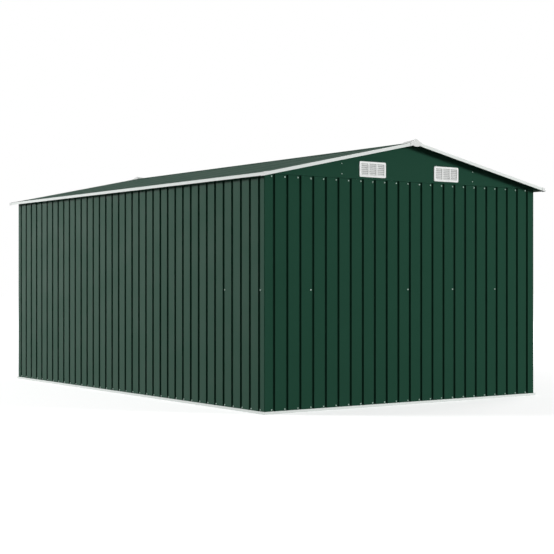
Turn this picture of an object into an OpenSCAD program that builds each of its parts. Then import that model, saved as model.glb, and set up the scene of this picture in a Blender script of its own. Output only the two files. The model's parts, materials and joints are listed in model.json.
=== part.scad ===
// Metal storage shed with ribbed sheet walls, a low gable roof and a pair of sliding doors.
// Millimetres, +Z up, origin on the ground at the middle of the plan.
// The ridge runs along Y. The doors are in the front gable, at -Y.

/* [Walls] */
// Width over the outer faces of the long walls
wall_w = 2456; // [2100:1:3000]
// Length over the outer faces of the gable walls
wall_l = 3793; // [3000:1:5000]
// Height of the ribbed wall sheets
wall_h = 1526; // [1400:1:2000]
// Thickness of every painted sheet
sheet_t = 1; // [0.6:0.1:1.5]

/* [Ribs] */
// Distance from one groove to the next
rib_spacing = 105; // [80:1:140]
// Width of a groove at the face of the wall
rib_open = 24; // [18:1:32]
// Width of the floor of a groove
rib_floor = 16; // [8:1:17]
// Depth of a groove
rib_depth = 10; // [6:0.5:18]
// Least flat width between a corner and the middle of the first groove
corner_flat = 50; // [40:1:60]
// Grooves across one rolled sheet
sheet_ribs = 4; // [3:1:5]
// Width of the flange that lies under the next sheet
lap_w = 26; // [20:1:30]
// Outer radius of the fold at a wall corner
fold_r = 4; // [2:0.5:8]

/* [Roof] */
// Overhang of the roof past the long walls
eave_over = 50; // [40:1:90]
// Overhang of the roof past the two gables
gable_over = 72; // [50:1:110]
// Slope of the roof, in degrees
roof_angle = 12; // [8:0.5:18]
// Height of the roof plane over the top of the wall sheets, at the outer face of a long wall
roof_lift = 10; // [6:0.1:20]
// Sheets across one slope of the roof
roof_sheet_count = 9; // [6:1:12]
// Reach of the ridge cap down each slope
ridge_cap_w = 90; // [60:1:140]

/* [Trim] */
// Thickness of the white folded trim
trim_t = 1.2; // [0.8:0.1:2]
// Height of the trim along the eaves
eave_trim_h = 19.5; // [16:0.5:30]
// Height of the trim up the gables
rake_trim_h = 21; // [16:0.5:30]
// Width of the trim's flange over the roof
trim_flange = 24; // [15:1:40]
// Width of the trim's lip under the roof
trim_lip = 9; // [5:1:15]
// Wall of the moulded end caps
cap_t = 1.6; // [1:0.1:3]
// Reach of a corner cap along the eave and the gable
corner_cap_w = 34; // [30:1:60]
// Half the width of the peak cap
peak_cap_w = 52; // [40:1:80]
// Height of the peak cap over the trim
peak_cap_h = 19; // [10:1:30]
// Length of the peak cap along the ridge
peak_cap_l = 95; // [60:1:140]
// Drop of the peak cap's tab below the trim
peak_tab_h = 12; // [6:1:20]
// Width of the tab at its lower edge
peak_tab_w = 32; // [20:1:44]

/* [Gables] */
// Distance from the middle to the joint of the gable sheets
gable_joint = 599; // [560:1:800]
// Open seam between the wall sheets and the gable sheets over them
gable_seam = 1.6; // [0.3:0.1:4]

/* [Base] */
// Height of the ledge that the wall sheets stand on
base_h = 18; // [14:1:40]
// Projection of the base rail past the wall
base_out = 10; // [5:1:20]
// Width of the base rail on the ground
base_flange = 55; // [45:1:90]
// Height of the web behind the sheets, over the ledge
base_web = 40; // [25:1:60]
// Thickness of the galvanised rails
rail_t = 1.5; // [1:0.1:2.5]

/* [Inner frame] */
// Leg of the top rails
top_rail_leg = 34; // [25:1:50]
// Height of the middle rail over the wall's lower edge
mid_rail_z = 780; // [600:1:900]
// Depth of the middle rail
mid_rail_h = 40; // [30:1:60]
// Width of the middle rail's flanges
mid_rail_w = 22; // [15:1:30]
// Width of the ridge beam and of the purlins
beam_w = 44; // [30:1:60]
// Depth of the ridge beam and of the purlins
beam_h = 32; // [20:1:50]

/* [Vents] */
// Width of a vent
vent_w = 230; // [180:1:260]
// Height of a vent
vent_h = 105; // [80:1:120]
// Distance from the middle of the gable to the middle of a vent
vent_x = 337; // [280:1:400]
// Height of the vent's lower edge over the wall sheets
vent_lift = 16; // [10:1:25]
// Width of the vent's frame
vent_border = 14; // [10:1:20]
// Radius of the vent's corners
vent_r = 9; // [4:1:12]
// Projection of the vent from the gable
vent_out = 9; // [6:0.5:14]
// Width of the two upright bars
vent_bar = 9; // [5:1:14]
// Slats in a vent
vent_slats = 6; // [4:1:8]
// Width of a slat
slat_w = 13; // [10:0.5:15]
// Thickness of a slat
slat_t = 1.4; // [1:0.1:2]
// Lean of a slat from upright, in degrees
slat_lean = 24; // [15:1:40]

/* [Doors] */
// Rib pitches across the doorway
door_pitches = 11; // [9:1:13]
// Depth of a door leaf's frame
leaf_d = 18; // [14:1:26]
// Width of the rails and stiles of a leaf
leaf_frame = 34; // [25:1:50]
// Reach of a leaf behind the jamb
leaf_cover = 18; // [10:1:30]
// Gap between the two leaves, and round a leaf in its guides
leaf_gap = 3; // [2:0.5:6]
// Depth of the grooves in a leaf
leaf_rib_depth = 9; // [5:1:12]
// Height of the bottom guide over its rail
guide_h = 16; // [10:1:24]
// Height of the overhead track
track_h = 42; // [30:1:60]
// Width of a jamb's face
jamb_w = 30; // [20:1:40]
// Width of the lip on which the leaves hang
track_lip = 7; // [5:0.5:9]
// Width of a hanger
hanger_w = 60; // [40:1:90]
// Height of a hanger's glide block
glide_h = 14; // [8:1:20]
// Height of a handle's plate
handle_h = 160; // [120:1:220]
// Width of a handle's plate
handle_w = 26; // [20:1:32]
// Thickness of a handle's plate
handle_t = 4; // [3:0.5:6]
// Width of a handle's grip
grip_w = 14; // [10:1:18]
// Projection of a handle's grip from its plate
grip_out = 20; // [14:1:26]
// Height of the middle of a handle over the ground
handle_z = 820; // [700:1:1000]

/* [Hidden] */
$fn = 48;
// Clearance between pieces that seat on each other
fit = 0.3;
// Drop of a lapped sheet below its cover, one sheet and a clearance
lap_step = sheet_t + fit;
slope = tan(roof_angle);

wall_top = base_h + wall_h;
ridge_z = wall_top + roof_lift + slope * wall_w / 2;
roof_w = wall_w + 2 * eave_over;
roof_l = wall_l + 2 * gable_over;
// The trim and the ridge cap lie over the raised laps of the roof sheets
over_lap = lap_step + fit;
trim_top = over_lap + trim_t;

// Depth from the wall's face to the back of the grooves, where the rails stand
rail_face = rib_depth + sheet_t + fit;
// Growth of a groove's half width from the front of the sheet to its back
rib_angle = atan2(rib_depth, (rib_open - rib_floor) / 2);
back_growth = tan(rib_angle / 2);

door_half = door_pitches * rib_spacing / 2;
leaf_face = rail_face + rail_t + leaf_gap;
leaf_back = leaf_face + leaf_d;
leaf_in = leaf_gap / 2;
leaf_out = door_half + leaf_cover;
leaf_low = base_h + leaf_gap;
leaf_high = wall_top - track_h - leaf_gap;

green = "#24473a";
white = "#e9ece9";
zinc = "#c9cdcc";
black = "#1c1e1d";

// Each wall has its own frame: u runs along it from left to right as seen from outside,
// measured from its middle, and d runs inwards from its outer face.
module on_front() translate([0, -wall_l / 2, 0]) children();
module on_rear() translate([0, wall_l / 2, 0]) rotate([0, 0, 180]) children();
module on_right() translate([wall_w / 2, 0, 0]) rotate([0, 0, 90]) children();
module mirrored() mirror([1, 0, 0]) children();
module to_front() mirror([0, 1, 0]) children();

// Grooves are spread evenly about the middle of a wall
function rib_count(len) = floor((len - 2 * corner_flat) / rib_spacing) + 1;
function rib_at(len, i) = (i - (rib_count(len) - 1) / 2) * rib_spacing;
function ribs(len, first, last) = [for (i = [first : 1 : last]) rib_at(len, i)];

side_ribs = rib_count(wall_l);
gable_ribs = rib_count(wall_w);
side_joints = [for (i = [(side_ribs - 1) % sheet_ribs : sheet_ribs : side_ribs - 1]) i];
gable_joints = [for (i = [sheet_ribs - 1 : sheet_ribs : gable_ribs - 2]) i];
last_gable_joint = gable_joints[len(gable_joints) - 1];

// The first groove outside the doorway on the right of the front wall
door_rib = ceil((door_half + jamb_w + rib_open / 2) / rib_spacing + (gable_ribs - 1) / 2);

// One groove at offset o behind the face, with the flat on either side dropped by left and right
function groove(c, o, left = 0, right = 0) = [
    [c - rib_open / 2 - o * back_growth, o + left],
    [c - rib_floor / 2 - o * back_growth, o + rib_depth],
    [c + rib_floor / 2 + o * back_growth, o + rib_depth],
    [c + rib_open / 2 + o * back_growth, o + right]
];
function joined(lists) = [for (l = lists) for (p = l) p];
function reversed(l) = [for (i = [len(l) - 1 : -1 : 0]) l[i]];

// A cover edge stops just beside the groove that it laps
cover_edge = rib_open / 2 + fit + sheet_t;
flange_edge = rib_open / 2 + lap_w;

// Rolled sheet from u0 to u1 with its grooves, as a line at offset o behind the face.
// lap is 1 where the last groove carries a flange on its right, -1 where the first one
// carries it on its left, and 0 where the sheet has none.
function sheet_line(u0, u1, at, lap, o) = joined([
    lap < 0 ? [[at[0] - flange_edge, o + lap_step]] : [[u0, o]],
    joined([for (i = [0 : 1 : len(at) - 1]) groove(at[i], o,
        lap < 0 && i == 0 ? lap_step : 0,
        lap > 0 && i == len(at) - 1 ? lap_step : 0)]),
    lap > 0 ? [[at[len(at) - 1] + flange_edge, o + lap_step]] : [[u1, o]]
]);

module sheet(u0, u1, at, lap) {
    translate([0, 0, base_h])
        linear_extrude(wall_h)
            polygon(concat(
                sheet_line(u0, u1, at, lap, 0),
                reversed(sheet_line(u0, u1, at, lap, sheet_t))));
}

// Flat strip along a wall from depth d0 to d1, mitred to the strips of the neighbouring walls
module mitred_strip(len, d0, d1, z0, z1) {
    half = len / 2 - fit / 2;
    translate([0, 0, z0])
        linear_extrude(z1 - z0)
            polygon([
                [-(half - d0), d0], [half - d0, d0],
                [half - d1, d1], [-(half - d1), d1]
            ]);
}

// Strip that follows the right slope of the roof between two heights over the roof plane
module slope_strip(x0, x1, low, high, y0, y1) {
    translate([0, y1, ridge_z])
        rotate([90, 0, 0])
            linear_extrude(y1 - y0)
                polygon([
                    [x0, low - slope * x0], [x1, low - slope * x1],
                    [x1, high - slope * x1], [x0, high - slope * x0]
                ]);
}

// Base rails: a flange on the ground, an outer leg, a ledge and a web behind the sheets
module base_section(len, flange) {
    mitred_strip(len, -base_out, flange - base_out, 0, rail_t);
    mitred_strip(len, -base_out, rail_t - base_out, 0, base_h);
    mitred_strip(len, -base_out, rail_face + rail_t, base_h - rail_t, base_h);
}

module base_web(len) {
    mitred_strip(len, rail_face, rail_face + rail_t, base_h - rail_t, base_h + base_web);
}

module base_rail_rear() {
    color(zinc) on_rear() {
        base_section(wall_w, base_flange);
        base_web(wall_w);
    }
}

module base_rail_right() {
    color(zinc) on_right() {
        base_section(wall_l, base_flange);
        base_web(wall_l);
    }
}

module base_rail_left() {
    mirrored() base_rail_right();
}

// The front rail has no web in the doorway, and a guide in which the leaves slide
guide_back = leaf_back + leaf_gap;
guide_run = wall_w / 2 - base_flange;

module base_rail_front() {
    color(zinc) on_front() {
        base_section(wall_w, base_flange);
        difference() {
            base_web(wall_w);
            translate([-door_half, 0, base_h])
                cube([2 * door_half, rail_face + 2 * rail_t, 2 * base_web]);
        }
        translate([-guide_run, rail_face, base_h - rail_t])
            cube([2 * guide_run, guide_back + rail_t - rail_face, rail_t]);
        translate([-guide_run, guide_back, 0])
            cube([2 * guide_run, rail_t, base_h + guide_h]);
    }
}

// Long walls: rolled sheets from joint to joint, each with its flange under the next one
module right_wall_sheets() {
    color(green) on_right()
        for (k = [0 : 1 : len(side_joints) - 2])
            sheet(rib_at(wall_l, side_joints[k]) + cover_edge, 0,
                ribs(wall_l, side_joints[k] + 1, side_joints[k + 1]), 1);
}

module left_wall_sheets() {
    mirrored() right_wall_sheets();
}

module rear_wall_sheets() {
    color(green) on_rear()
        for (k = [0 : 1 : len(gable_joints) - 2])
            sheet(0, rib_at(wall_w, gable_joints[k + 1]) - cover_edge,
                ribs(wall_w, gable_joints[k], gable_joints[k + 1] - 1), -1);
}

module front_wall_right() {
    color(green) on_front()
        sheet(door_half, 0, ribs(wall_w, door_rib, gable_ribs - 1), 1);
}

module front_wall_left() {
    mirrored() front_wall_right();
}

// Corner sheets are rolled sheets folded round a corner. The fold is drawn at the corner of
// +X and +Y, from the long wall to the gable wall.
function side_point(p) = [wall_w / 2 - p[1], p[0]];
function rear_point(p) = [-p[0], wall_l / 2 - p[1]];
function fold(o) = [for (a = [0 : 15 : 90])
    [wall_w / 2 - fold_r + (fold_r - o) * cos(a), wall_l / 2 - fold_r + (fold_r - o) * sin(a)]];
function butlast(l) = [for (i = [0 : 1 : len(l) - 2]) l[i]];
function butfirst(l) = [for (i = [1 : 1 : len(l) - 1]) l[i]];

// side and rear hold the start, the end, the grooves and the lap of each leg
function corner_line(side, rear, o) = joined([
    [for (p = butlast(sheet_line(side[0], side[1], side[2], side[3], o))) side_point(p)],
    fold(o),
    [for (p = butfirst(sheet_line(rear[0], rear[1], rear[2], rear[3], o))) rear_point(p)]
]);

module corner_sheet(side, rear) {
    color(green)
        translate([0, 0, base_h])
            linear_extrude(wall_h)
                polygon(concat(corner_line(side, rear, 0),
                    reversed(corner_line(side, rear, sheet_t))));
}

// At the rear, the corner sheets cover the long walls just past their last groove
rear_side_leg = [rib_at(wall_l, side_ribs - 1) + cover_edge, wall_l / 2, [], 0];

module rear_right_corner_sheet() {
    corner_sheet(rear_side_leg,
        [-wall_w / 2, rib_at(wall_w, gable_joints[0]) - cover_edge,
            ribs(wall_w, 0, gable_joints[0] - 1), 0]);
}

module rear_left_corner_sheet() {
    mirrored() corner_sheet(rear_side_leg,
        [-wall_w / 2, 0, ribs(wall_w, 0, gable_ribs - 1 - last_gable_joint), 1]);
}

// At the front, the corner sheets reach along the long walls to the first joint
module front_right_corner_sheet() {
    to_front() corner_sheet(
        [0, wall_l / 2, reversed([for (i = [0 : 1 : side_joints[0]]) -rib_at(wall_l, i)]), -1],
        [-wall_w / 2, rib_at(wall_w, 0) - cover_edge, [], 0]);
}

module front_left_corner_sheet() {
    mirrored() front_right_corner_sheet();
}

// Gable sheets stand over the wall sheets, past a narrow seam, and reach up to the roof
function under_roof(x) = ridge_z - sheet_t - fit - slope * abs(x);

module gable_plate(xs, d0, d1) {
    low = wall_top + gable_seam;
    translate([0, wall_l / 2 - d0, 0])
        rotate([90, 0, 0])
            linear_extrude(d1 - d0)
                polygon(concat(
                    [[xs[0], low], [xs[len(xs) - 1], low]],
                    [for (x = reversed(xs)) [x, under_roof(x)]]));
}

vent_hole_w = vent_w - 2 * vent_border;
vent_hole_h = vent_h - 2 * vent_border;
vent_z = wall_top + vent_lift + vent_h / 2;

module rear_gable_middle() {
    color(green) difference() {
        gable_plate([-gable_joint, 0, gable_joint], 0, sheet_t);
        for (side = [-1, 1])
            translate([side * vent_x, wall_l / 2, vent_z])
                cube([vent_hole_w, 4 * sheet_t, vent_hole_h], center = true);
    }
}

// The outer gable sheets carry a flange that lies behind the middle one
module rear_gable_right() {
    edge = gable_joint + fit;
    color(green) {
        gable_plate([edge, wall_w / 2], 0, sheet_t);
        gable_plate([edge, edge + 2 * sheet_t], 0, lap_step + sheet_t);
        gable_plate([gable_joint - lap_w, edge + 2 * sheet_t], lap_step, lap_step + sheet_t);
    }
}

module rear_gable_left() {
    mirrored() rear_gable_right();
}

module front_gable_middle() {
    to_front() rear_gable_middle();
}

module front_gable_right() {
    to_front() rear_gable_right();
}

module front_gable_left() {
    mirrored() front_gable_right();
}

// Roof sheets lie side by side, each with a raised edge over the next
roof_edge_x = roof_w / 2 - trim_t - fit;
roof_edge_y = roof_l / 2 - trim_t - fit;
roof_sheet_w = 2 * roof_edge_y / roof_sheet_count;

module right_roof_sheets() {
    color(green)
        for (k = [0 : 1 : roof_sheet_count - 1]) {
            y0 = -roof_edge_y + k * roof_sheet_w;
            y1 = y0 + roof_sheet_w;
            slope_strip(fit, roof_edge_x, -sheet_t, 0, y0 + (k > 0 ? fit : 0), y1);
            if (k < roof_sheet_count - 1) {
                slope_strip(fit, roof_edge_x, -sheet_t, lap_step, y1 - sheet_t, y1);
                slope_strip(fit, roof_edge_x, fit, lap_step, y1 - sheet_t, y1 + lap_w);
            }
        }
}

module left_roof_sheets() {
    mirrored() right_roof_sheets();
}

ridge_cap_l = roof_l - 2 * trim_flange - 2 * fit;

module ridge_cap() {
    color(green) {
        slope_strip(0, ridge_cap_w, over_lap, over_lap + sheet_t, -ridge_cap_l / 2, ridge_cap_l / 2);
        mirrored()
            slope_strip(0, ridge_cap_w, over_lap, over_lap + sheet_t, -ridge_cap_l / 2, ridge_cap_l / 2);
    }
}

// Eave trim: a folded strip with a flange over the roof and a lip under it
eave_x = roof_w / 2;
eave_trim_l = roof_l - 2 * trim_flange - 2 * fit;

module right_eave_trim() {
    y = eave_trim_l / 2;
    low = trim_top - eave_trim_h;
    color(white) {
        slope_strip(eave_x - trim_t, eave_x, low, trim_top, -y, y);
        slope_strip(eave_x - trim_flange, eave_x, over_lap, trim_top, -y, y);
        slope_strip(eave_x - trim_lip, eave_x, low, low + trim_t, -y, y);
    }
}

module left_eave_trim() {
    mirrored() right_eave_trim();
}

// Rake trim: the same section, up the slope of a gable and cut upright at the ridge
module rear_right_rake_trim() {
    y = roof_l / 2;
    low = trim_top - rake_trim_h;
    color(white) {
        slope_strip(fit / 2, eave_x, low, trim_top, y - trim_t, y);
        slope_strip(fit / 2, eave_x, over_lap, trim_top, y - trim_flange, y);
        slope_strip(fit / 2, eave_x, low, low + trim_t, y - trim_lip, y);
    }
}

module rear_left_rake_trim() {
    mirrored() rear_right_rake_trim();
}

module front_right_rake_trim() {
    to_front() rear_right_rake_trim();
}

module front_left_rake_trim() {
    mirrored() front_right_rake_trim();
}

// Peak cap: a moulded hood over the end of the ridge, which falls to the ridge behind,
// and a front plate with a tab below the meeting of the trims
module peak_hood() {
    foot = trim_top + fit;
    intersection() {
        translate([0, roof_l / 2 + fit + cap_t, ridge_z])
            rotate([90, 0, 0])
                linear_extrude(peak_cap_l)
                    polygon([
                        [-peak_cap_w, foot - slope * peak_cap_w], [0, foot], [peak_cap_w, foot - slope * peak_cap_w],
                        [peak_cap_w, foot + cap_t - slope * peak_cap_w],
                        [0, foot + peak_cap_h],
                        [-peak_cap_w, foot + cap_t - slope * peak_cap_w]
                    ]);
        translate([-peak_cap_w, roof_l / 2 + fit + cap_t, ridge_z])
            rotate([0, 0, -90])
                rotate([90, 0, 0])
                    translate([0, 0, -2 * peak_cap_w])
                        linear_extrude(4 * peak_cap_w)
                            polygon([
                                [0, -peak_cap_w], [peak_cap_l, -peak_cap_w],
                                [peak_cap_l, foot + cap_t], [0, foot + peak_cap_h]
                            ]);
    }
}

module peak_plate() {
    foot = trim_top + fit;
    low = trim_top - rake_trim_h;
    tab_top = peak_tab_w / 2 + peak_tab_h;
    translate([0, roof_l / 2 + fit + cap_t, ridge_z])
        rotate([90, 0, 0])
            linear_extrude(cap_t)
                polygon([
                    [-peak_cap_w, foot + cap_t - slope * peak_cap_w], [0, foot + cap_t],
                    [peak_cap_w, foot + cap_t - slope * peak_cap_w],
                    [peak_cap_w, low - slope * peak_cap_w],
                    [tab_top, low - slope * tab_top],
                    [peak_tab_w / 2, low - peak_tab_h], [-peak_tab_w / 2, low - peak_tab_h],
                    [-tab_top, low - slope * tab_top],
                    [-peak_cap_w, low - slope * peak_cap_w]
                ]);
}

module rear_peak_cap() {
    color(white) {
        peak_hood();
        peak_plate();
    }
}

module front_peak_cap() {
    to_front() rear_peak_cap();
}

// Corner caps: moulded hoods over the meeting of the eave and rake trims
module corner_cap() {
    x0 = eave_x - corner_cap_w;
    x1 = eave_x + fit + cap_t;
    y0 = roof_l / 2 - corner_cap_w;
    y1 = roof_l / 2 + fit + cap_t;
    low = trim_top - rake_trim_h;
    top = trim_top + fit + cap_t;
    slope_strip(x0, x1, trim_top + fit, top, y0, y1);
    slope_strip(x0, x1, low, top, roof_l / 2 + fit, y1);
    slope_strip(eave_x + fit, x1, low, top, y0, y1);
}

module roof_corner_caps() {
    color(white)
        for (sx = [0, 1], sy = [0, 1])
            mirror([sx, 0, 0]) mirror([0, sy, 0]) corner_cap();
}

// Vents: a moulded frame with two upright bars and leaning slats behind them
module round_plate(w, h, r, t) {
    linear_extrude(t) {
        square([w - 2 * r, h], center = true);
        square([w, h - 2 * r], center = true);
        for (sx = [-1, 1], sy = [-1, 1])
            translate([sx * (w / 2 - r), sy * (h / 2 - r)]) circle(r);
    }
}

vent_col = (vent_hole_w - 2 * vent_bar) / 3;
slat_pitch = vent_hole_h / vent_slats;

module vent() {
    difference() {
        round_plate(vent_w, vent_h, vent_r, vent_out);
        for (i = [-1, 0, 1])
            translate([i * (vent_col + vent_bar), 0, vent_out / 2])
                cube([vent_col, vent_hole_h, 2 * vent_out], center = true);
    }
    for (k = [0 : 1 : vent_slats - 1])
        translate([0, (k + 0.5) * slat_pitch - vent_hole_h / 2, vent_out / 2])
            rotate([-slat_lean, 0, 0])
                cube([vent_hole_w + vent_border, slat_w, slat_t], center = true);
}

module rear_vents() {
    color(white)
        for (side = [-1, 1])
            translate([side * vent_x, wall_l / 2 + fit, vent_z])
                rotate([90, 0, 180])
                    intersection() {
                        vent();
                        translate([0, 0, vent_out / 2])
                            cube([vent_w, vent_h, vent_out], center = true);
                    }
}

module front_vents() {
    to_front() rear_vents();
}

// Top rails: angles behind the upper edges of the walls, up to the roof
module top_rail_right() {
    x = wall_w / 2 - rail_face;
    y = wall_l / 2 - rail_face - top_rail_leg - fit;
    color(zinc) {
        slope_strip(x - top_rail_leg, x, -sheet_t - fit - rail_t, -sheet_t - fit, -y, y);
        slope_strip(x - rail_t, x, -sheet_t - fit - top_rail_leg, -sheet_t - fit, -y, y);
    }
}

module top_rail_left() {
    mirrored() top_rail_right();
}

module top_rail_rear() {
    half = wall_w / 2 - rail_face - rail_t;
    low = wall_top - top_rail_leg;
    color(zinc) on_rear() {
        translate([-half, rail_face, low])
            cube([2 * half, rail_t, top_rail_leg]);
        translate([-half, rail_face, low])
            cube([2 * half, top_rail_leg, rail_t]);
    }
}

// Middle rails: channels behind the mid-height screws of the sheet joints
module mid_section(len) {
    z = base_h + mid_rail_z - mid_rail_h / 2;
    mitred_strip(len, rail_face, rail_face + rail_t, z, z + mid_rail_h);
    mitred_strip(len, rail_face, rail_face + mid_rail_w, z, z + rail_t);
    mitred_strip(len, rail_face, rail_face + mid_rail_w, z + mid_rail_h - rail_t, z + mid_rail_h);
}

module mid_rail_right() {
    color(zinc) difference() {
        on_right() mid_section(wall_l);
        translate([0, -wall_l / 2, 0])
            cube([wall_w, 2 * (guide_back + rail_t), 2 * wall_top], center = false);
    }
}

module mid_rail_left() {
    mirrored() mid_rail_right();
}

module mid_rail_rear() {
    color(zinc) on_rear() mid_section(wall_w);
}

// Ridge beam and purlins: channels from gable to gable under the roof sheets
beam_half_l = wall_l / 2 - lap_step - sheet_t - fit;

module ridge_beam() {
    low = -sheet_t - fit - beam_h;
    color(zinc)
        for (side = [0, 1]) mirror([side, 0, 0]) {
            slope_strip(0, beam_w / 2, -sheet_t - fit - rail_t, -sheet_t - fit, -beam_half_l, beam_half_l);
            slope_strip(beam_w / 2 - rail_t, beam_w / 2, low, -sheet_t - fit, -beam_half_l, beam_half_l);
        }
}

module right_purlin() {
    low = -sheet_t - fit - beam_h;
    x = wall_w / 4;
    color(zinc) {
        slope_strip(x, x + beam_w, -sheet_t - fit - rail_t, -sheet_t - fit, -beam_half_l, beam_half_l);
        slope_strip(x, x + rail_t, low, -sheet_t - fit, -beam_half_l, beam_half_l);
        slope_strip(x + beam_w - rail_t, x + beam_w, low, -sheet_t - fit, -beam_half_l, beam_half_l);
    }
}

module left_purlin() {
    mirrored() right_purlin();
}

// Door track: a channel behind the front gable, with a lip inside on which the leaves hang
module door_track() {
    half = wall_w / 2 - rail_face - top_rail_leg;
    color(zinc) on_front()
        translate([-half, 0, wall_top - track_h]) {
            translate([0, rail_face, 0]) cube([2 * half, rail_t, track_h]);
            translate([0, guide_back, 0]) cube([2 * half, rail_t, track_h]);
            translate([0, guide_back - track_lip, 0]) cube([2 * half, track_lip + rail_t, rail_t]);
            translate([0, rail_face, track_h - rail_t])
                cube([2 * half, guide_back + rail_t - rail_face, rail_t]);
        }
}

// Jambs: folded posts over the edges of the front wall beside the doorway
module right_jamb() {
    low = base_h;
    high = wall_top - fit;
    out = -fit - rail_t;
    back = rail_face - fit;
    color(white) on_front()
        translate([0, 0, low])
            linear_extrude(high - low)
                polygon([
                    [door_half - fit - rail_t, out], [door_half + jamb_w, out],
                    [door_half + jamb_w, out + rail_t], [door_half - fit, out + rail_t],
                    [door_half - fit, back], [door_half - fit - rail_t, back]
                ]);
}

module left_jamb() {
    mirrored() right_jamb();
}

// Door leaves: a folded frame round a ribbed sheet, hung in the track
leaf_mid = (leaf_in + leaf_out) / 2;
leaf_rib_n = floor((leaf_out - leaf_in - 2 * leaf_frame - rib_open) / rib_spacing) + 1;
hanger_d = leaf_face + leaf_d / 2;
glide_z = wall_top - track_h + rail_t + fit;

function leaf_groove(c, o) = [
    [c - rib_open / 2, o], [c - rib_floor / 2, o + leaf_rib_depth],
    [c + rib_floor / 2, o + leaf_rib_depth], [c + rib_open / 2, o]
];
function leaf_line(o) = joined([
    [[leaf_in, leaf_face + o]],
    joined([for (k = [0 : 1 : leaf_rib_n - 1])
        leaf_groove(leaf_mid + (k - (leaf_rib_n - 1) / 2) * rib_spacing, leaf_face + o)]),
    [[leaf_out, leaf_face + o]]
]);

module leaf_bar(x, z, w, h) {
    translate([x, leaf_face, z]) difference() {
        cube([w, leaf_d, h]);
        translate([rail_t, sheet_t, rail_t]) cube([w - 2 * rail_t, leaf_d, h - 2 * rail_t]);
    }
}

module leaf_panel() {
    translate([0, 0, leaf_low])
        linear_extrude(leaf_high - leaf_low)
            polygon(concat(leaf_line(0), reversed(leaf_line(sheet_t))));
    leaf_bar(leaf_in, leaf_low, leaf_frame, leaf_high - leaf_low);
    leaf_bar(leaf_out - leaf_frame, leaf_low, leaf_frame, leaf_high - leaf_low);
    leaf_bar(leaf_in, leaf_low, leaf_out - leaf_in, leaf_frame);
    leaf_bar(leaf_in, leaf_high - leaf_frame, leaf_out - leaf_in, leaf_frame);
}

// A hanger stands on the leaf's top rail, and its glide block rides on the lip of the track
module leaf_hanger(x) {
    translate([x - hanger_w / 2, hanger_d, leaf_high - rail_t])
        cube([hanger_w, rail_t, glide_z + glide_h - leaf_high + rail_t]);
    translate([x - hanger_w / 2, hanger_d, glide_z])
        cube([hanger_w, guide_back - fit - hanger_d, glide_h]);
}

module right_door() {
    color(green) on_front() {
        leaf_panel();
        leaf_hanger(leaf_in + leaf_frame + hanger_w);
        leaf_hanger(leaf_out - leaf_frame - hanger_w);
    }
}

module left_door() {
    mirrored() right_door();
}

// Handles: a rounded plate on the inner stile of each leaf, with a solid grip
module handle() {
    translate([leaf_in + leaf_frame / 2, leaf_face, handle_z])
        rotate([90, 0, 0]) {
            round_plate(handle_w, handle_h, handle_w / 3, handle_t);
            round_plate(grip_w, handle_h - handle_w, grip_w / 3, handle_t + grip_out);
        }
}

module door_handles() {
    color(black) on_front() {
        handle();
        mirrored() handle();
    }
}

base_rail_front();
base_rail_rear();
base_rail_right();
base_rail_left();
right_wall_sheets();
left_wall_sheets();
rear_wall_sheets();
front_wall_right();
front_wall_left();
rear_right_corner_sheet();
rear_left_corner_sheet();
front_right_corner_sheet();
front_left_corner_sheet();
rear_gable_middle();
rear_gable_right();
rear_gable_left();
front_gable_middle();
front_gable_right();
front_gable_left();
right_roof_sheets();
left_roof_sheets();
ridge_cap();
right_eave_trim();
left_eave_trim();
rear_right_rake_trim();
rear_left_rake_trim();
front_right_rake_trim();
front_left_rake_trim();
rear_peak_cap();
front_peak_cap();
roof_corner_caps();
rear_vents();
front_vents();
top_rail_right();
top_rail_left();
top_rail_rear();
mid_rail_right();
mid_rail_left();
mid_rail_rear();
ridge_beam();
right_purlin();
left_purlin();
door_track();
right_jamb();
left_jamb();
right_door();
left_door();
door_handles();
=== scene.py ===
# %% [markdown]
# # A ribbed steel storage shed
# The real shed is a kit of rolled steel sheets, painted dark green, on thin base rails, with
# white folded trim round the roof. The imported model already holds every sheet, rail and trim
# at its real size, so this lesson only dresses it: paint, zinc and plastic finishes, the
# screws that hold the sheets, a floor, soft light and a camera.

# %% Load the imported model
import json
import math

import bpy
import numpy as np
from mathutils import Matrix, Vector


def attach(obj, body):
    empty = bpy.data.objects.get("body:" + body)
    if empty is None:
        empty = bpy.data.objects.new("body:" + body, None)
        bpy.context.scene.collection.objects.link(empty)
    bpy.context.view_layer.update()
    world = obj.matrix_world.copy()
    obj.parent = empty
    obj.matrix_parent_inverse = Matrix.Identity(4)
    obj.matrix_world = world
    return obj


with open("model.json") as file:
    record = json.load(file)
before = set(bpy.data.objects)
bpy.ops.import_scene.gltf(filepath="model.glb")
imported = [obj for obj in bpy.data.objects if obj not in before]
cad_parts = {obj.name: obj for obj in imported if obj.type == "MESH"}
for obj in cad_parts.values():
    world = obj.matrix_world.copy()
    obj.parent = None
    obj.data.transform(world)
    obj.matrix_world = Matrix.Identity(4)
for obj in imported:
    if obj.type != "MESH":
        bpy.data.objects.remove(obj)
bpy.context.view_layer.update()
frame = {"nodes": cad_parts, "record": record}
scene = bpy.context.scene

# %% [markdown]
# ## The camera
# A product picture of a building is taken with a level camera, so that upright edges stay
# parallel. The two vanishing points of the walls give its heading and focal length, and the
# horizon sits a little below the middle of the picture, which a small lens shift gives
# without tilting the camera.

# %% Place the camera
SENSOR_MM = 36.0
LENS_MM = 83.98
CAMERA_AT = (5.940, 8.691, 0.851)
HEADING_DEG = 144.695
PICTURE_PX = 554
HORIZON_BELOW_PX = 4.84
LEVEL_DEG = 90

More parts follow.
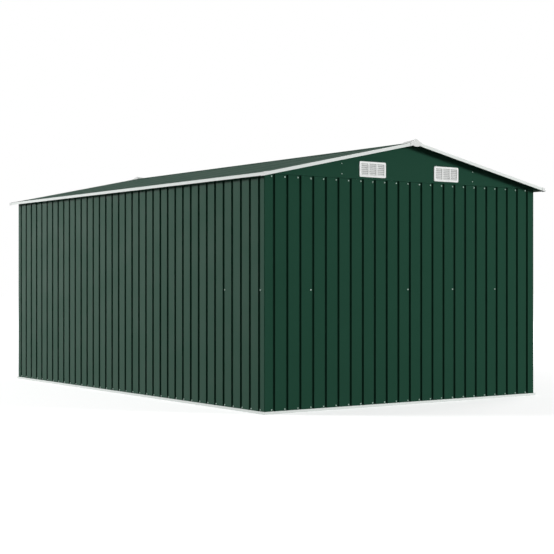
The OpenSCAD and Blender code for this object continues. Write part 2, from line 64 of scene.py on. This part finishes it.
camera_data = bpy.data.cameras.new("product_camera")
camera_data.sensor_width = SENSOR_MM
camera_data.lens = LENS_MM
camera_data.shift_y = HORIZON_BELOW_PX / PICTURE_PX
camera = bpy.data.objects.new("product_camera", camera_data)
camera.location = CAMERA_AT
camera.rotation_euler = (math.radians(LEVEL_DEG), 0, math.radians(HEADING_DEG))
scene.collection.objects.link(camera)
scene.camera = camera
print("camera", CAMERA_AT, "lens in mm", LENS_MM)

# %% [markdown]
# ## Node helpers
# Every finish below is a small node tree. One function turns a painter's hex colour into the
# linear numbers that a shader wants, one adds a node with its settings and links, and one
# starts a material with its shader.


# %% Colour and node helpers
def linear(hex_colour, alpha=1.0):
    """Linear RGBA of an sRGB hex colour such as '#204234'."""
    channels = [int(hex_colour[i : i + 2], 16) / 255 for i in (1, 3, 5)]
    lit = [c / 12.92 if c <= 0.04045 else ((c + 0.055) / 1.055) ** 2.4 for c in channels]
    return (*lit, alpha)


def add_node(tree, kind, settings=None, inputs=None):
    """Adds a node, sets its properties, and sets or links its inputs by name or number."""
    node = tree.nodes.new(kind)
    for name, value in (settings or {}).items():
        setattr(node, name, value)
    for key, value in (inputs or {}).items():
        if isinstance(value, bpy.types.NodeSocket):
            tree.links.new(value, node.inputs[key])
        else:
            node.inputs[key].default_value = value
    return node


def new_material(name):
    """A material with an empty tree, its Principled shader and its output."""
    material = bpy.data.materials.new(name)
    material.use_nodes = True
    tree = material.node_tree
    tree.nodes.clear()
    shader = add_node(tree, "ShaderNodeBsdfPrincipled")
    add_node(tree, "ShaderNodeOutputMaterial", inputs={"Surface": shader.outputs["BSDF"]})
    return material, tree, shader


MM = 0.001
print("helpers ready")

# %% [markdown]
# ## Soft studio light
# The picture has a plain white surround, and its grooves are nearly black on both walls. So
# the light rakes across the walls. One large soft box stands far out past the front end and
# lights the long wall and the doors, another stands past the far corner and lights the rear
# gable, and a third lights the long wall that the picture hides. Only a weak even light fills
# the rest. These three don't show in reflections. The near long wall has a sheen that is even
# from head to foot and grows towards the front end, so a fourth box stands much farther out
# past that end. It gives its sheen to the sheets of that wall alone, by light linking, because
# on the roof such a lamp would be a white glare from behind. The bars of the vents throw no
# shadow from the two raking boxes, by shadow linking, because the picture shows none there.
# The surround and the floor are white to the eye and to mirrors, and darker to the light that
# bounces, which keeps the hollows deep. The floor glows least beside the shed, so that it
# keeps a faint shadow, and not at all inside, so that no bright line shows between the doors.

# %% Surround, soft boxes and floor
WHITE = (1, 1, 1, 1)
AMBIENT = 0.14
PAPER_SEEN, PAPER_BOUNCE = 0.93, 0.2
GLOW_FROM, GLOW_FULL = 5.0, 16.0
GLOW_NEAR, GLOW_FAR = 0.6, 0.9
FLOOR_HALF = 60.0
# The edge of the plain paper inside runs under the walls, half a width and half a length out.
INDOORS_X, INDOORS_Y = 1.21, 1.88
INDOORS_GREY = "#b9bbb9"
# Each box has its place and size in metres and its power in watts.
BOX_TARGET = (0, 0, 0.8)
WALL_BOX_AT, WALL_BOX_SIZE, WALL_BOX_WATTS = (27.0, -22.0, 9.6), (12.0, 6.0), 13600
GABLE_BOX_AT, GABLE_BOX_SIZE, GABLE_BOX_WATTS = (-24.0, 27.8, 5.6), (12.0, 6.0), 14300
BACK_BOX_AT, BACK_BOX_SIZE, BACK_BOX_WATTS = (-16.0, -5.0, 5.0), (6.0, 3.0), 700
SHEEN_BOX_AT, SHEEN_BOX_SIZE, SHEEN_BOX_WATTS = (20.0, -40.0, 5.5), (10.0, 3.0), 13600
SHEEN_NODES = ("right_wall_sheets", "rear_right_corner_sheet", "front_right_corner_sheet")
VENT_NODES = ("rear_vents", "front_vents")


def seen_directly(tree):
    """One for camera, mirror and see-through rays, nought for bounced light."""
    rays = add_node(tree, "ShaderNodeLightPath")
    seen = add_node(tree, "ShaderNodeMath", {"operation": "MAXIMUM"},
                    {0: rays.outputs["Is Camera Ray"], 1: rays.outputs["Is Glossy Ray"]})
    seen = add_node(tree, "ShaderNodeMath", {"operation": "MAXIMUM"},
                    {0: seen.outputs[0], 1: rays.outputs["Is Transmission Ray"]})
    return seen.outputs[0]


def make_world():
    """A surround that is white to look at and lights the shed only weakly."""
    world = bpy.data.worlds.new("white_studio")
    world.use_nodes = True
    tree = world.node_tree
    tree.nodes.clear()
    level = add_node(tree, "ShaderNodeMapRange", {},
                     {"Value": seen_directly(tree), "To Min": AMBIENT, "To Max": 1.0})
    light = add_node(tree, "ShaderNodeBackground",
                     inputs={"Color": WHITE, "Strength": level.outputs["Result"]})
    add_node(tree, "ShaderNodeOutputWorld", inputs={"Surface": light.outputs["Background"]})
    scene.world = world


def soft_box(name, at, size, watts):
    """A rectangular lamp that faces the middle of the shed."""
    data = bpy.data.lights.new(name, "AREA")
    data.shape = "RECTANGLE"
    data.size, data.size_y = size
    data.energy = watts
    box = bpy.data.objects.new(name, data)
    box.location = at
    box.rotation_euler = (Vector(BOX_TARGET) - Vector(at)).to_track_quat("-Z", "Y").to_euler()
    scene.collection.objects.link(box)
    return box


def node_collection(name, node_names):
    """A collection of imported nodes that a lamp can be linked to."""
    collection = bpy.data.collections.new(name)
    for node_name in node_names:
        collection.objects.link(frame["nodes"][node_name])
    return collection


def glowing_paper():
    """White paper whose glow grows with the distance from the shed."""
    material, tree, shader = new_material("matt_white_paper")
    seen = seen_directly(tree)
    tint = add_node(tree, "ShaderNodeMapRange", {},
                    {"Value": seen, "To Min": PAPER_BOUNCE, "To Max": PAPER_SEEN})
    place = add_node(tree, "ShaderNodeNewGeometry").outputs["Position"]
    away = add_node(tree, "ShaderNodeVectorMath", {"operation": "LENGTH"}, {0: place})
    level = add_node(tree, "ShaderNodeMapRange", {},
                     {"Value": away.outputs["Value"], "From Min": GLOW_FROM, "From Max": GLOW_FULL,
                      "To Min": GLOW_NEAR, "To Max": GLOW_FAR})
    glow = add_node(tree, "ShaderNodeMath", {"operation": "MULTIPLY"},
                    {0: seen, 1: level.outputs["Result"]})
    tree.links.new(tint.outputs["Result"], shader.inputs["Base Color"])
    tree.links.new(glow.outputs[0], shader.inputs["Emission Strength"])
    shader.inputs["Emission Color"].default_value = WHITE
    shader.inputs["Roughness"].default_value = 1.0
    shader.inputs["Specular IOR Level"].default_value = 0.0
    return material


def plain_paper():
    """Grey paper without any glow, for the floor inside the shed."""
    material, _, shader = new_material("matt_grey_paper_indoors")
    shader.inputs["Base Color"].default_value = linear(INDOORS_GREY)
    shader.inputs["Roughness"].default_value = 1.0
    return material


def make_floor():
    """A wide ring of glowing paper round a plain middle."""
    corners = ((-1, -1), (1, -1), (1, 1), (-1, 1))
    points = [(x * FLOOR_HALF, y * FLOOR_HALF, 0) for x, y in corners]
    points += [(x * INDOORS_X, y * INDOORS_Y, 0) for x, y in corners]
    around = [(i, (i + 1) % 4, 4 + (i + 1) % 4, 4 + i) for i in range(4)]
    mesh = bpy.data.meshes.new("floor")
    mesh.from_pydata(points, [], around + [(4, 5, 6, 7)])
    mesh.materials.append(glowing_paper())
    mesh.materials.append(plain_paper())
    mesh.polygons[len(around)].material_index = 1
    floor = bpy.data.objects.new("floor", mesh)
    scene.collection.objects.link(floor)


make_world()
make_floor()
wall_box = soft_box("long_wall_soft_box", WALL_BOX_AT, WALL_BOX_SIZE, WALL_BOX_WATTS)
gable_box = soft_box("gable_soft_box", GABLE_BOX_AT, GABLE_BOX_SIZE, GABLE_BOX_WATTS)
back_box = soft_box("hidden_wall_soft_box", BACK_BOX_AT, BACK_BOX_SIZE, BACK_BOX_WATTS)
for box in (wall_box, gable_box, back_box):
    box.visible_glossy = False

shadowless_vents = node_collection("vents_without_shadow", VENT_NODES)
for member in shadowless_vents.collection_objects:
    member.light_linking.link_state = "EXCLUDE"
for box in (wall_box, gable_box):
    box.light_linking.blocker_collection = shadowless_vents

sheen_box = soft_box("long_wall_sheen_box", SHEEN_BOX_AT, SHEEN_BOX_SIZE, SHEEN_BOX_WATTS)
sheen_box.visible_diffuse = False
sheen_box.light_linking.receiver_collection = node_collection("wall_with_sheen", SHEEN_NODES)
scene.view_settings.view_transform = "Standard"

# %% [markdown]
# ## Paint on rolled steel
# The sheets are coil-coated: galvanised strip is roller-painted with polyester and then
# rolled to shape. The paint is an even low satin with a very fine orange peel, and the strip
# is never perfectly flat, so wide pans show a faint waviness in their sheen. A picture of
# paint would repeat along such long walls, so two noise patterns make it. The pattern of the
# orange peel is a few millimetres wide, which is finer than a pixel here, so a wider ripple of
# the same kind carries it at this distance.

# %% Coil-coated green and white steel
PEEL_MM, PEEL_DEPTH_MM, PEEL_DETAIL = 3.0, 0.1, 1.0
RIPPLE_MM, RIPPLE_DETAIL = 240.0, 2.0
GLOSS_SPREAD = 0.05


def coil_coated_steel(name, colour, darker, roughness, specular, bump):
    """Paint whose tint and gloss drift with the ripple of the strip, with a fine peel."""
    material, tree, shader = new_material(name)
    place = add_node(tree, "ShaderNodeTexCoord").outputs["Object"]
    ripple = add_node(tree, "ShaderNodeTexNoise", {},
                      {"Vector": place, "Scale": 1 / (RIPPLE_MM * MM), "Detail": RIPPLE_DETAIL})
    peel = add_node(tree, "ShaderNodeTexNoise", {},
                    {"Vector": place, "Scale": 1 / (PEEL_MM * MM), "Detail": PEEL_DETAIL})
    tint = add_node(tree, "ShaderNodeMix", {"data_type": "RGBA"},
                    {0: ripple.outputs["Fac"], 6: linear(darker), 7: linear(colour)})
    gloss = add_node(tree, "ShaderNodeMapRange", {},
                     {"Value": ripple.outputs["Fac"], "To Min": roughness - GLOSS_SPREAD,
                      "To Max": roughness + GLOSS_SPREAD})
    fine = add_node(tree, "ShaderNodeBump", {},
                    {"Height": peel.outputs["Fac"], "Strength": bump, "Distance": PEEL_DEPTH_MM * MM})
    tree.links.new(tint.outputs[2], shader.inputs["Base Color"])
    tree.links.new(gloss.outputs["Result"], shader.inputs["Roughness"])
    tree.links.new(fine.outputs["Normal"], shader.inputs["Normal"])
    shader.inputs["Specular IOR Level"].default_value = specular
    return material


green_steel = coil_coated_steel("coil_coated_green_steel", "#204234", "#1d3e30",
                                roughness=0.68, specular=0.07, bump=0.25)
white_steel = coil_coated_steel("coil_coated_white_steel", "#e2e7e4", "#dee3e0",
                                roughness=0.55, specular=0.15, bump=0.2)
print("paints", green_steel.name, white_steel.name)

# %% [markdown]
# ## Zinc and plastic
# The inner rails are bare galvanised steel, whose zinc freezes in flat crystals, the spangle,
# a centimetre or two wide, and each shines a little differently. Voronoi cells have the
# straight edges of such crystals, which a soft noise lacks. The vents, roof caps and handles
# are moulded plastic with a fine spark-eroded grain. It is drawn about a millimetre wide,
# coarser than the real one, and still it only softens the gloss at this distance. Light
# spreads a little way inside the white plastic, which softens its edges, and painted shade
# greys the hollows between its slats and its other hollows.

# %% Galvanised steel and moulded plastic
SPANGLE_MM = 16.0
ZINC_DULL, ZINC_BRIGHT = "#b4b9ba", "#d3d7d8"
ZINC_ROUGH_LOW, ZINC_ROUGH_HIGH = 0.32, 0.52
GRAIN_MM, GRAIN_DEPTH_MM, GRAIN_DETAIL, GRAIN_BUMP = 1.2, 0.15, 2.0, 0.3
# Reach in millimetres and samples of the painted shade that darkens the plastic's hollows
HOLLOW_SHADE_MM, HOLLOW_SHADE_SAMPLES = 22.0, 8
SCATTER_MM = 12
PLASTIC_SPECULAR = 0.25


def galvanised_steel(name):
    """Bare zinc in flat crystals, each with its own grey and gloss."""
    material, tree, shader = new_material(name)
    place = add_node(tree, "ShaderNodeTexCoord").outputs["Object"]
    spangle = add_node(tree, "ShaderNodeTexVoronoi", {},
                       {"Vector": place, "Scale": 1 / (SPANGLE_MM * MM)})
    grey = add_node(tree, "ShaderNodeSeparateColor", {}, {"Color": spangle.outputs["Color"]})
    tint = add_node(tree, "ShaderNodeMix", {"data_type": "RGBA"},
                    {0: grey.outputs[0], 6: linear(ZINC_DULL), 7: linear(ZINC_BRIGHT)})
    gloss = add_node(tree, "ShaderNodeMapRange", {},
                     {"Value": grey.outputs[1], "To Min": ZINC_ROUGH_LOW, "To Max": ZINC_ROUGH_HIGH})
    tree.links.new(tint.outputs[2], shader.inputs["Base Color"])
    tree.links.new(gloss.outputs["Result"], shader.inputs["Roughness"])
    shader.inputs["Metallic"].default_value = 1.0
    return material


def moulded_plastic(name, colour, darker, hollow_shade, roughness, scatter):
    """Grained plastic with painted shade in its hollows and some light spread inside."""
    material, tree, shader = new_material(name)
    place = add_node(tree, "ShaderNodeTexCoord").outputs["Object"]
    grain = add_node(tree, "ShaderNodeTexNoise", {},
                     {"Vector": place, "Scale": 1 / (GRAIN_MM * MM), "Detail": GRAIN_DETAIL})
    tint = add_node(tree, "ShaderNodeMix", {"data_type": "RGBA"},
                    {0: grain.outputs["Fac"], 6: linear(darker), 7: linear(colour)})
    # Painted shade: the colour turns towards the given shade colour where ambient occlusion finds a
    # hollow
    open_air = add_node(tree, "ShaderNodeAmbientOcclusion", {"samples": HOLLOW_SHADE_SAMPLES},
                        {"Distance": HOLLOW_SHADE_MM * MM})
    painted_hollow_shade = add_node(tree, "ShaderNodeMix", {"data_type": "RGBA"},
                     {0: open_air.outputs["AO"], 6: linear(hollow_shade), 7: tint.outputs[2]})
    fine = add_node(tree, "ShaderNodeBump", {},
                    {"Height": grain.outputs["Fac"], "Strength": GRAIN_BUMP,
                     "Distance": GRAIN_DEPTH_MM * MM})
    tree.links.new(painted_hollow_shade.outputs[2], shader.inputs["Base Color"])
    tree.links.new(fine.outputs["Normal"], shader.inputs["Normal"])
    shader.inputs["Roughness"].default_value = roughness
    shader.inputs["Specular IOR Level"].default_value = PLASTIC_SPECULAR
    shader.inputs["Subsurface Weight"].default_value = scatter
    shader.inputs["Subsurface Radius"].default_value = (1, 1, 1)
    shader.inputs["Subsurface Scale"].default_value = SCATTER_MM * MM
    return material


zinc = galvanised_steel("galvanised_steel")
# The third colour of each plastic is the painted shade of its hollows, not a colour of the plastic
white_plastic = moulded_plastic("moulded_white_polypropylene", "#f7f9f7", "#f3f5f3",
                                hollow_shade="#7d817f", roughness=0.42, scatter=0.5)
pale_plastic = moulded_plastic("moulded_pale_polypropylene", "#dfe2e0", "#dbdedc",
                               hollow_shade="#8d918f", roughness=0.45, scatter=0.0)
black_plastic = moulded_plastic("moulded_black_polypropylene", "#1d1f1e", "#171918",
                                hollow_shade="#101211", roughness=0.5, scatter=0.0)
print("finishes", zinc.name, white_plastic.name, pale_plastic.name, black_plastic.name)

# %% [markdown]
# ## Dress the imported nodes
# Each node names its material slot in the record, so one table of slot to finish dresses them
# all. The roof caps are a shade greyer than the vents, as they come from another moulding.

# %% Give every node its finish
FINISH_OF_SLOT = {
    "green_sheet": green_steel,
    "white_trim": white_steel,
    "galvanised_rail": zinc,
    "white_plastic": white_plastic,
    "black_plastic": black_plastic,
}
ROOF_CAPS = ("rear_peak_cap", "front_peak_cap", "roof_corner_caps")
slot_of_node = {row["node"]: row["material_slot"] for row in frame["record"]["subparts"]}
for name, node in frame["nodes"].items():
    finish = pale_plastic if name in ROOF_CAPS else FINISH_OF_SLOT[slot_of_node[name]]
    node.data.materials.clear()
    node.data.materials.append(finish)
print("dressed", len(frame["nodes"]), "nodes")

# %% [markdown]
# ## Screws
# Hex-headed screws with broad washers hold the sheets to the rails. There is one beside every
# groove along the foot of the walls and the head of the gables, and pairs at the joints of the
# gable plates. Halfway up, the photo shows them at every fourth groove of the rear wall but
# one, and at two joints of the long wall beside the rear corner. They are steel, plated with
# zinc in a turning barrel, so the thin film varies a little in tint and gloss. Its real patches
# are a millimetre or two wide, too fine to show, so they are drawn so wide that one screw
# differs from the next. Each screw is a flat washer under a six-sided head. A ray sent at the
# wall finds the face that it sits on, so none floats or sinks.

# %% Build the screws
RIB_MM = 105
SIDE_GROOVES, GABLE_GROOVES = 36, 23
BESIDE_MM = 17
# Heights of the rows at the foot, halfway up and at the head of the ribbed sheets
FOOT_ROW_MM, MIDDLE_ROW_MM, TOP_ROW_MM = 28, 798, 1530
# The sheets join at every fourth groove. Halfway up, the last two joints of a long wall have
# screws, and the joint of the rear wall with this number has none.
JOINT_EVERY = 4
MIDDLE_SHOWN = 2
MIDDLE_BARE = 1
# Joints of the flat gable plates, out from the middle, and the two rows there
PLATE_JOINT_MM = 599
PLATE_ROWS_MM = (1573, 1642)
# Half the width of the door frame, and where the rays start
DOOR_FRAME_MM = 640
REACH_MM = 3000
WASHER_R, WASHER_LOW, WASHER_HIGH, WASHER_CORNERS = 5.0, -1.0, 1.0, 16
HEAD_R, HEAD_HIGH, HEAD_CORNERS = 3.6, 4.0, 6
PLATING_MM, PLATING_DETAIL = 60.0, 1.0
PLATING_DULL, PLATING_BRIGHT = "#a4bbb0", "#c5dcd1"
PLATING_ROUGH_LOW, PLATING_ROUGH_HIGH = 0.38, 0.52
PLATING_METALLIC = 0.15

finder = bpy.context.evaluated_depsgraph_get()


def zinc_plated_steel(name):
    """Barrel-plated zinc, whose film varies a little in tint and gloss."""
    material, tree, shader = new_material(name)
    place = add_node(tree, "ShaderNodeTexCoord").outputs["Object"]
    film = add_node(tree, "ShaderNodeTexNoise", {},
                    {"Vector": place, "Scale": 1 / (PLATING_MM * MM), "Detail": PLATING_DETAIL})
    tint = add_node(tree, "ShaderNodeMix", {"data_type": "RGBA"},
                    {0: film.outputs["Fac"], 6: linear(PLATING_DULL), 7: linear(PLATING_BRIGHT)})
    gloss = add_node(tree, "ShaderNodeMapRange", {},
                     {"Value": film.outputs["Fac"], "To Min": PLATING_ROUGH_LOW,
                      "To Max": PLATING_ROUGH_HIGH})
    tree.links.new(tint.outputs[2], shader.inputs["Base Color"])
    tree.links.new(gloss.outputs["Result"], shader.inputs["Roughness"])
    shader.inputs["Metallic"].default_value = PLATING_METALLIC
    return material


def ring(radius, height, corners):
    """Corner points of a level polygon."""
    turn = np.arange(corners) * 2 * np.pi / corners
    return np.stack([radius * np.cos(turn), radius * np.sin(turn), np.full(corners, height)], 1)


def screw_template():
    """Points and faces of one screw that stands on the XY plane, in millimetres."""
    washer = (WASHER_R, WASHER_LOW, WASHER_HIGH, WASHER_CORNERS)
    head = (HEAD_R, WASHER_HIGH, HEAD_HIGH, HEAD_CORNERS)
    points, faces = [], []
    for radius, low, high, corners in (washer, head):
        start = sum(len(p) for p in points)
        points += [ring(radius, low, corners), ring(radius, high, corners)]
        for i in range(corners):
            j = (i + 1) % corners
            faces.append([start + i, start + j, start + corners + j, start + corners + i])
        faces.append([start + corners + i for i in range(corners)])
        faces.append([start + corners - 1 - i for i in range(corners)])
    return np.vstack(points), faces


def screws(name, origins, direction):
    """Screws on the faces that rays from the origins, in millimetres, meet."""
    shape, shape_faces = screw_template()
    turn = Vector(direction).to_track_quat("-Z", "Y").to_matrix()
    shape = shape @ np.array(turn).T * MM
    points, faces = [], []
    for origin in origins:
        met, place, _, _, _, _ = scene.ray_cast(finder, Vector(origin) * MM, Vector(direction))
        if not met:
            continue
        base = len(points) * len(shape)
        points.append(shape + np.array(place))
        faces += [[base + i for i in face] for face in shape_faces]
    mesh = bpy.data.meshes.new(name)
    mesh.from_pydata(np.vstack(points).tolist(), [], faces)
    mesh.materials.append(screw_zinc)
    piece = bpy.data.objects.new(name, mesh)
    scene.collection.objects.link(piece)
    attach(piece, "root")
    print(name, len(points), "screws of", len(origins))


def groove_at(index, count):
    """Place of a groove along a wall that has this many."""
    return (index - (count - 1) / 2) * RIB_MM


def side_screws():
    """Screws of both long walls."""
    spots_y = [groove_at(i, SIDE_GROOVES) + BESIDE_MM for i in range(SIDE_GROOVES)]
    joints_y = spots_y[JOINT_EVERY - 1 :: JOINT_EVERY][-MIDDLE_SHOWN:]
    for name, side in (("right", 1), ("left", -1)):
        x = side * REACH_MM
        spots = [(x, y, FOOT_ROW_MM) for y in spots_y]
        spots += [(x, y, MIDDLE_ROW_MM) for y in joints_y]
        screws(name + "_wall_screws", spots, (-side, 0, 0))


def gable_screws():
    """Screws of the rear wall and of the front wall beside the doors."""
    across = [groove_at(i, GABLE_GROOVES) + BESIDE_MM for i in range(GABLE_GROOVES)]
    joints = across[::-1][JOINT_EVERY - 1 :: JOINT_EVERY]
    del joints[MIDDLE_BARE]
    beside_doors = [x for x in across if abs(x - BESIDE_MM) > DOOR_FRAME_MM]
    for name, side, heads in (("rear", 1, across), ("front", -1, beside_doors)):
        y = side * REACH_MM
        spots = [(x, y, z) for x in heads for z in (FOOT_ROW_MM, TOP_ROW_MM)]
        spots += [(x, y, z) for x in (-PLATE_JOINT_MM, PLATE_JOINT_MM) for z in PLATE_ROWS_MM]
        if name == "rear":
            spots += [(x, y, MIDDLE_ROW_MM) for x in joints]
        screws(name + "_wall_screws", spots, (0, -side, 0))


screw_zinc = zinc_plated_steel("zinc_plated_screw_steel")
side_screws()
gable_screws()
